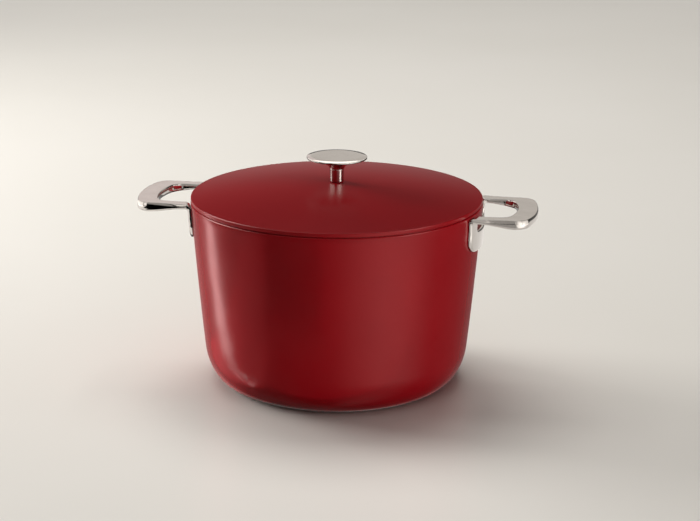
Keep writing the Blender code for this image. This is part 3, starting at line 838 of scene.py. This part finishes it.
def around(bearing, distance, height):
    angle = math.radians(bearing)
    return (distance * math.cos(angle), distance * math.sin(angle), height)


def panel(name, low, high, level, receivers, tone):
    """Soft panel between two opposite corners, flat in one axis. Only the receivers reflect it."""
    low, high = Vector(low), Vector(high)
    centre, size = (low + high) / 2, high - low
    if size.z < MM:
        width, height, aim = size.x, size.y, centre + Vector((0.0, 0.0, 1.0))
    elif size.y < MM:
        width, height, aim = size.x, size.z, Vector((centre.x, 0.0, centre.z))
    else:
        width, height, aim = size.y, size.z, Vector((0.0, centre.y, centre.z))
    power = level * math.pi * width * height
    made = softbox(name, centre, aim, width, height, power, tone, receivers, diffuse=False)
    if size.z < MM:
        made.rotation_euler = (math.pi, 0.0, 0.0)
    return made


def panels(rows, receivers):
    for name, low, high, level, tone in rows:
        panel(name, low, high, level, receivers, tone)


def beam(name, start, bearing, near, far, width, level, receivers, tone):
    """Panel on the floor along a bearing, from near to far off its start."""
    angle, reach = math.radians(bearing), (near + far) / 2
    x, y = start[0] + reach * math.cos(angle), start[1] + reach * math.sin(angle)
    low = (x - (far - near) / 2, y - width / 2, GROUND)
    high = (x + (far - near) / 2, y + width / 2, GROUND)
    panel(name, low, high, level, receivers, tone).rotation_euler.z = angle


def linked_group(name, pieces):
    group = bpy.data.collections.new(name)
    for piece in pieces:
        group.objects.link(piece)
    return group


def main_lights(metal, ground):
    """Key low on the left and fill on the right, which nothing mirrors, and a soft overhead box."""
    pieces = [item for item in bpy.data.objects if item.type == "MESH" and item != ground]
    dull = linked_group("all_but_metal", [item for item in pieces if item not in metal])
    pot = linked_group("all_but_ground", pieces)
    key, fill = around(*KEY_PLACE), around(*FILL_PLACE)
    softbox("key", key, MIDDLE, KEY_SIZE, KEY_SIZE, KEY_POWER, receivers=dull, glossy=False)
    softbox("overhead", OVERHEAD_PLACE, MIDDLE, OVERHEAD_SIZE, OVERHEAD_SIZE, OVERHEAD_POWER)
    softbox("right_fill", fill, MIDDLE, *FILL_SIZE, FILL_POWER, receivers=pot, glossy=False)


def floor_lights(ground):
    """The floor has lights of its own: the pot's key again, a high box behind and a weak one in front."""
    only = {"receivers": linked_group("ground", [ground]), "glossy": False}
    key = softbox("ground_key", around(*KEY_PLACE), MIDDLE, KEY_SIZE, KEY_SIZE, FLOOR_KEY_POWER, **only)
    key.data.spread = math.radians(FLOOR_KEY_SPREAD)
    for box in FLOOR_BOXES:
        softbox(*box, **only)


def coat_lights(coated):
    """What the coating reflects: glow from the sides, the strip, red bounce off the floor, the rim light."""
    coat = linked_group("coated", coated)
    panels(COAT_PANELS, coat)
    for near, far, width, level in STRIP:
        beam("strip", STRIP_START, STRIP_BEARING, near, far, width, level, coat, PINK)
    beam("left_red", *LEFT_RED, coat, RED)
    rim = around(*RIM_PLACE)
    softbox("rim_light", rim, MIDDLE, RIM_SIZE, RIM_SIZE, RIM_POWER, receivers=coat, diffuse=False)


def steel_lights(knob, stem, grips, metal):
    """What the polished steel reflects, which differs for the knob, the stem and the handles."""
    knob_only = linked_group("knob_head", [knob])
    panels(KNOB_AND_STEM_PANELS, linked_group("knob", [knob, stem]))
    panels(STEEL_PANELS, linked_group("polished_metal", metal))
    panels(GRIP_PANELS, linked_group("grips", grips))
    panels(KNOB_PANELS, knob_only)
    size, power = KNOB_TOP_SIZE, KNOB_TOP_LEVEL * math.pi * KNOB_TOP_SIZE**2
    softbox("knob_top", KNOB_TOP_PLACE, MIDDLE, size, size, power, receivers=knob_only, diffuse=False)


def floor():
    """Round pale floor just under the pot."""
    corners = [math.tau * k / FLOOR_STEPS for k in range(FLOOR_STEPS)]
    vertices = [(FLOOR_RADIUS * math.cos(angle), FLOOR_RADIUS * math.sin(angle), 0.0) for angle in corners]
    mesh = bpy.data.meshes.new("floor")
    mesh.from_pydata(vertices, [], [list(range(FLOOR_STEPS))])
    mesh.materials.append(floor_material())
    made = bpy.data.objects.new("floor", mesh)
    made.location.z = -FLOOR_DROP
    bpy.context.scene.collection.objects.link(made)
    made.visible_glossy = False
    return made


def camera():
    data = bpy.data.cameras.new("camera")
    data.lens, data.sensor_width = CAMERA_LENS, SENSOR
    data.clip_start, data.clip_end = 0.05, 30.0
    made = bpy.data.objects.new("camera", data)
    bpy.context.scene.collection.objects.link(made)
    turn = Matrix.Rotation(math.radians(CAMERA_TURN), 4, "Z")
    tilt = Matrix.Rotation(math.radians(CAMERA_TILT), 4, "X")
    roll = Matrix.Rotation(math.radians(CAMERA_ROLL), 4, "Z")
    made.matrix_world = Matrix.Translation(CAMERA_PLACE) @ turn @ tilt @ roll
    bpy.context.scene.camera = made


# ---------------------------------------------------------------- build

def build():
    bpy.context.scene.view_settings.view_transform = "Standard"
    lining, steel = lining_coat(), polished_steel()
    fastener_steel = turned_steel("fastener_finish", FASTENER_TONES, 0.28)
    coated = [
        pot_body(red_coat("red_coat", 0.32, 0.2, 0.26), lining),
        lid_shell(red_coat("red_lid_coat", 0.05, 0.274, 0.282), lining),
    ]
    base_disc(turned_steel("turned_disc", DISC_TONES, 0.3))
    knob, stem = knob_head(steel), knob_stem(steel)
    grips = [handle(1, steel), handle(-1, steel)]
    rivets = [rivet(f"rivet_{side}_{i}", fastener_steel) for side in ("right", "left") for i in (1, 2)]
    washers(fastener_steel, silicone())
    for node in ("knob_screw", "lock_washer"):
        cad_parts[node].data.materials.clear()
        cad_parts[node].data.materials.append(fastener_steel)
    ground = floor()
    metal = [knob, stem, *grips, *rivets]
    room_world()
    main_lights(metal, ground)
    floor_lights(ground)
    coat_lights(coated)
    steel_lights(knob, stem, grips, metal)
    camera()


build()
